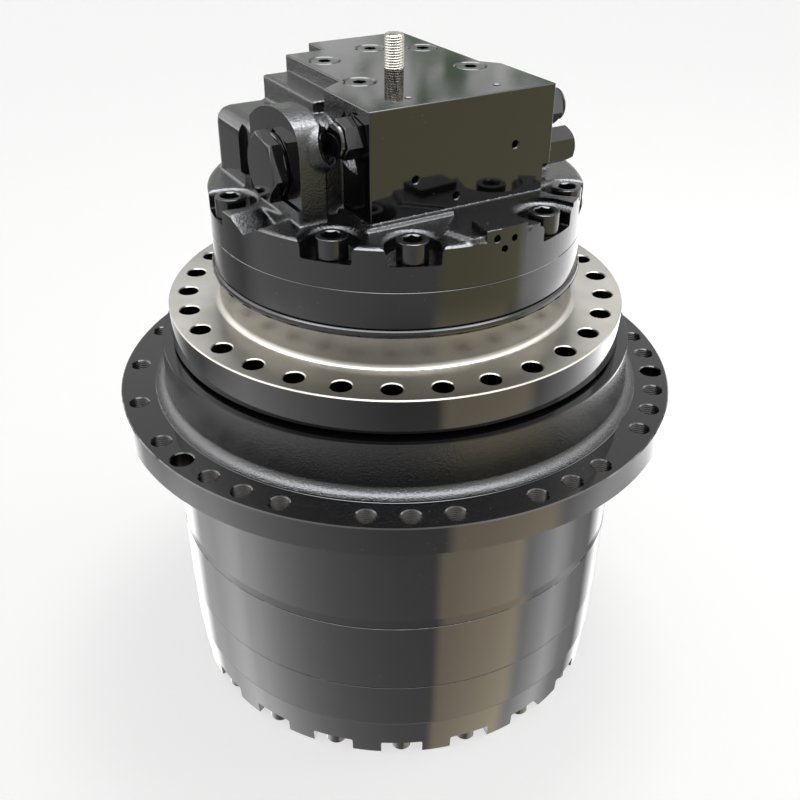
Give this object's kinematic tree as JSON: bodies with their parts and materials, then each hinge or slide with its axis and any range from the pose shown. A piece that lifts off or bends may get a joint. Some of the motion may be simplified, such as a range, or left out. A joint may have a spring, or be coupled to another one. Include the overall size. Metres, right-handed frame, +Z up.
{
  "type": "excavator final drive",
  "caption": "Travel motor and planetary reduction in a flanged drum hub, with a frame flange, a sprocket flange and a valve block on top.",
  "frame": {"origin": "centre of the end cover's foot, on the ground under the hub's axis", "axes": "+Z up along the hub's axis from the end cover to the valve block, -Y towards the pictured side"},
  "size_m": [0.6148, 0.6148, 0.73],
  "materials": {
    "gloss_black_paint": "gloss black enamel over cast and machined iron",
    "turned_steel": "turned, bare",
    "case_hardened_steel": "ground and case hardened",
    "ground_bearing_steel": "ground and polished",
    "black_oxide_steel": "painted over black oxide",
    "bright_zinc": "bright zinc plate",
    "valve_bronze": "machined bronze"
  },
  "bodies": {
    "frame_side": {"motor_case": "gloss_black_paint", "rear_cover": "gloss_black_paint", "fixed_carrier_stage_2": "case_hardened_steel", "planet_pin_stage_2_1": "case_hardened_steel", "planet_pin_stage_2_2": "case_hardened_steel", "planet_pin_stage_2_3": "case_hardened_steel", "planet_pin_stage_2_4": "case_hardened_steel", "bearing_inner_race_1": "ground_bearing_steel", "bearing_inner_race_2": "ground_bearing_steel", "bearing_nut": "turned_steel", "fixed_seal_ring": "black_oxide_steel", "valve_plate": "valve_bronze", "rear_cover_screw_1": "black_oxide_steel", "rear_cover_screw_2": "black_oxide_steel", "rear_cover_screw_3": "black_oxide_steel", "rear_cover_screw_4": "black_oxide_steel", "rear_cover_screw_5": "black_oxide_steel", "rear_cover_screw_6": "black_oxide_steel", "rear_cover_screw_7": "black_oxide_steel", "rear_cover_screw_8": "black_oxide_steel", "rear_cover_screw_9": "black_oxide_steel", "port_plug_1": "black_oxide_steel", "port_plug_2": "black_oxide_steel", "port_plug_3": "black_oxide_steel", "port_plug_4": "black_oxide_steel", "port_plug_5": "black_oxide_steel", "spool_cap_left": "black_oxide_steel", "spool_cap_right": "black_oxide_steel", "relief_valve_left": "gloss_black_paint", "relief_valve_right": "gloss_black_paint", "pilot_plug": "gloss_black_paint", "barrel_plug": "black_oxide_steel", "lifting_stud": "bright_zinc"},
    "hub": {"sprocket_hub": "gloss_black_paint", "ring_gear_stage_1": "gloss_black_paint", "ring_gear_stage_2": "gloss_black_paint", "end_cover": "gloss_black_paint", "oil_drain_plug": "black_oxide_steel", "oil_level_plug": "black_oxide_steel", "bearing_outer_race_1": "ground_bearing_steel", "bearing_outer_race_2": "ground_bearing_steel", "rotating_seal_ring": "black_oxide_steel"},
    "rollers_1": {"bearing_rollers_1": "ground_bearing_steel"},
    "rollers_2": {"bearing_rollers_2": "ground_bearing_steel"},
    "input": {"drive_shaft": "case_hardened_steel", "cylinder_block": "case_hardened_steel"},
    "planet_carrier": {"carrier_stage_1": "case_hardened_steel", "sun_gear_stage_2": "case_hardened_steel", "planet_pin_stage_1_1": "case_hardened_steel", "planet_pin_stage_1_2": "case_hardened_steel", "planet_pin_stage_1_3": "case_hardened_steel"},
    "planet_1_1": {"planet_gear_stage_1_1": "case_hardened_steel"},
    "planet_1_2": {"planet_gear_stage_1_2": "case_hardened_steel"},
    "planet_1_3": {"planet_gear_stage_1_3": "case_hardened_steel"},
    "planet_2_1": {"planet_gear_stage_2_1": "case_hardened_steel"},
    "planet_2_2": {"planet_gear_stage_2_2": "case_hardened_steel"},
    "planet_2_3": {"planet_gear_stage_2_3": "case_hardened_steel"},
    "planet_2_4": {"planet_gear_stage_2_4": "case_hardened_steel"},
    "swash": {"swash_plate": "valve_bronze"},
    "spool": {"counterbalance_spool": "ground_bearing_steel"}
  },
  "joints": [
    {"name": "hub_spin", "type": "hinge", "parent": "frame_side", "child": "hub", "pos_m": [0, 0, 0], "axis": [0, 0, 1], "continuous": true},
    {"name": "rollers_1_spin", "type": "hinge", "parent": "frame_side", "child": "rollers_1", "pos_m": [0, 0, 0.36], "axis": [0, 0, 1], "continuous": true},
    {"name": "rollers_2_spin", "type": "hinge", "parent": "frame_side", "child": "rollers_2", "pos_m": [0, 0, 0.28], "axis": [0, 0, 1], "continuous": true},
    {"name": "input_spin", "type": "hinge", "parent": "frame_side", "child": "input", "pos_m": [0, 0, 0.3], "axis": [0, 0, 1], "continuous": true},
    {"name": "carrier_spin", "type": "hinge", "parent": "frame_side", "child": "planet_carrier", "pos_m": [0, 0, 0.12], "axis": [0, 0, 1], "continuous": true},
    {"name": "planet_1_1_spin", "type": "hinge", "parent": "planet_carrier", "child": "planet_1_1", "pos_m": [0.12, 0, 0.09], "axis": [0, 0, 1], "continuous": true},
    {"name": "planet_1_2_spin", "type": "hinge", "parent": "planet_carrier", "child": "planet_1_2", "pos_m": [-0.06, 0.10392, 0.09], "axis": [0, 0, 1], "continuous": true},
    {"name": "planet_1_3_spin", "type": "hinge", "parent": "planet_carrier", "child": "planet_1_3", "pos_m": [-0.06, -0.10392, 0.09], "axis": [0, 0, 1], "continuous": true},
    {"name": "planet_2_1_spin", "type": "hinge", "parent": "frame_side", "child": "planet_2_1", "pos_m": [0.13, 0, 0.165], "axis": [0, 0, 1], "continuous": true},
    {"name": "planet_2_2_spin", "type": "hinge", "parent": "frame_side", "child": "planet_2_2", "pos_m": [0, 0.13, 0.165], "axis": [0, 0, 1], "continuous": true},
    {"name": "planet_2_3_spin", "type": "hinge", "parent": "frame_side", "child": "planet_2_3", "pos_m": [-0.13, 0, 0.165], "axis": [0, 0, 1], "continuous": true},
    {"name": "planet_2_4_spin", "type": "hinge", "parent": "frame_side", "child": "planet_2_4", "pos_m": [0, -0.13, 0.165], "axis": [0, 0, 1], "continuous": true},
    {"name": "swash_tilt", "type": "hinge", "parent": "frame_side", "child": "swash", "pos_m": [0, 0, 0.4733], "axis": [1, 0, 0], "range_deg": [-9, 0]},
    {"name": "spool_shift", "type": "slide", "parent": "frame_side", "child": "spool", "axis": [0.866, 0.5, 0], "range_m": [-0.009, 0.009]}
  ],
  "couplings": [
    {"joint": "rollers_1_spin", "follows": "hub_spin", "ratio": 0.52491},
    {"joint": "rollers_2_spin", "follows": "hub_spin", "ratio": 0.52491},
    {"joint": "input_spin", "follows": "hub_spin", "ratio": -27.889},
    {"joint": "carrier_spin", "follows": "hub_spin", "ratio": -3.3333},
    {"joint": "planet_1_1_spin", "follows": "hub_spin", "ratio": 10.524},
    {"joint": "planet_1_2_spin", "follows": "hub_spin", "ratio": 10.524},
    {"joint": "planet_1_3_spin", "follows": "hub_spin", "ratio": 10.524},
    {"joint": "planet_2_1_spin", "follows": "hub_spin", "ratio": 2.8571},
    {"joint": "planet_2_2_spin", "follows": "hub_spin", "ratio": 2.8571},
    {"joint": "planet_2_3_spin", "follows": "hub_spin", "ratio": 2.8571},
    {"joint": "planet_2_4_spin", "follows": "hub_spin", "ratio": 2.8571}
  ]
}
